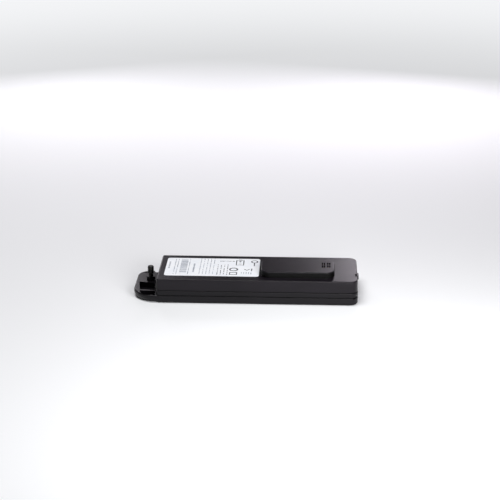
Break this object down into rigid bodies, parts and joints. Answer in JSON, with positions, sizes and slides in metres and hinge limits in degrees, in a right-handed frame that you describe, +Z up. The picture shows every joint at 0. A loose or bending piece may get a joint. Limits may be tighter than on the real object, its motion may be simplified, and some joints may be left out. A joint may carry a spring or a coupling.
{
  "type": "satellite phone battery pack",
  "caption": "Flat rechargeable pack with a raised sealed contact plug, a label and an end flange held by a captive lock screw.",
  "frame": {"origin": "middle of the bounding box, on the flat underside", "axes": "+X along the pack from the screw flange to the latch nib, +Y across it, +Z up out of the contact side"},
  "size_m": [0.123, 0.0382, 0.0173],
  "materials": {
    "cover_plastic": "black polycarbonate blend, fine spark-eroded texture",
    "case_plastic": "black polycarbonate blend, fine spark-eroded texture",
    "frame_plastic": "black polycarbonate blend, fine texture",
    "seal_rubber": "black silicone rubber",
    "plug_rubber": "black silicone rubber, moulded",
    "label_film": "white printed polyester film, satin",
    "blackened_steel": "black oxide",
    "screw_steel": "black oxide, worn bright on the crests",
    "nylon": "natural nylon",
    "o_ring_rubber": "black nitrile rubber",
    "can_aluminium": "drawn, satin",
    "wound_foil": "wound electrode foil",
    "nickel": "rolled nickel strip, satin",
    "foam": "closed-cell foam",
    "tape": "double-sided foam tape",
    "insulating_paper": "vulcanised insulating paper",
    "circuit_board": "green solder mask on glass-epoxy",
    "chip_plastic": "black moulding compound",
    "fuse_ceramic": "glazed ceramic body",
    "passive_ceramic": "fired ceramic",
    "contact_plastic": "glass-filled nylon",
    "gold_plate": "gold-plated copper alloy"
  },
  "bodies": {
    "pack": {"outer_cover": "cover_plastic", "inner_case": "case_plastic", "middle_frame": "frame_plastic", "cover_seal": "seal_rubber", "case_seal": "seal_rubber", "plug_seal": "plug_rubber", "label": "label_film", "screw_bush": "blackened_steel", "cell_foam_pads": "foam", "end_pad_left": "foam", "end_pad_right": "foam", "board_foam": "foam", "cell_tapes": "tape", "cell_insulator": "insulating_paper", "cell_spacer": "nylon", "protection_board": "circuit_board", "switch_transistors": "chip_plastic", "protection_circuit": "chip_plastic", "board_fuse": "fuse_ceramic", "board_passives": "passive_ceramic", "contact_block": "contact_plastic", "contact_blades": "gold_plate", "cell_left_can": "can_aluminium", "cell_left_lid": "can_aluminium", "cell_left_winding": "wound_foil", "cell_left_terminal": "nickel", "cell_left_gasket": "nylon", "negative_strap_left": "nickel", "positive_strap_left": "nickel", "cell_right_can": "can_aluminium", "cell_right_lid": "can_aluminium", "cell_right_winding": "wound_foil", "cell_right_terminal": "nickel", "cell_right_gasket": "nylon", "negative_strap_right": "nickel", "positive_strap_right": "nickel"},
    "screw_seat": {"screw_washer": "nylon", "screw_o_ring": "o_ring_rubber"},
    "screw": {"lock_screw": "screw_steel"}
  },
  "joints": [
    {"name": "screw_slide", "type": "slide", "parent": "pack", "child": "screw_seat", "axis": [0, 0, 1], "range_m": [-0.002, 0]},
    {"name": "screw_spin", "type": "hinge", "parent": "screw_seat", "child": "screw", "pos_m": [-0.05345, 0.0047, 0], "axis": [0, 0, 1], "continuous": true}
  ]
}
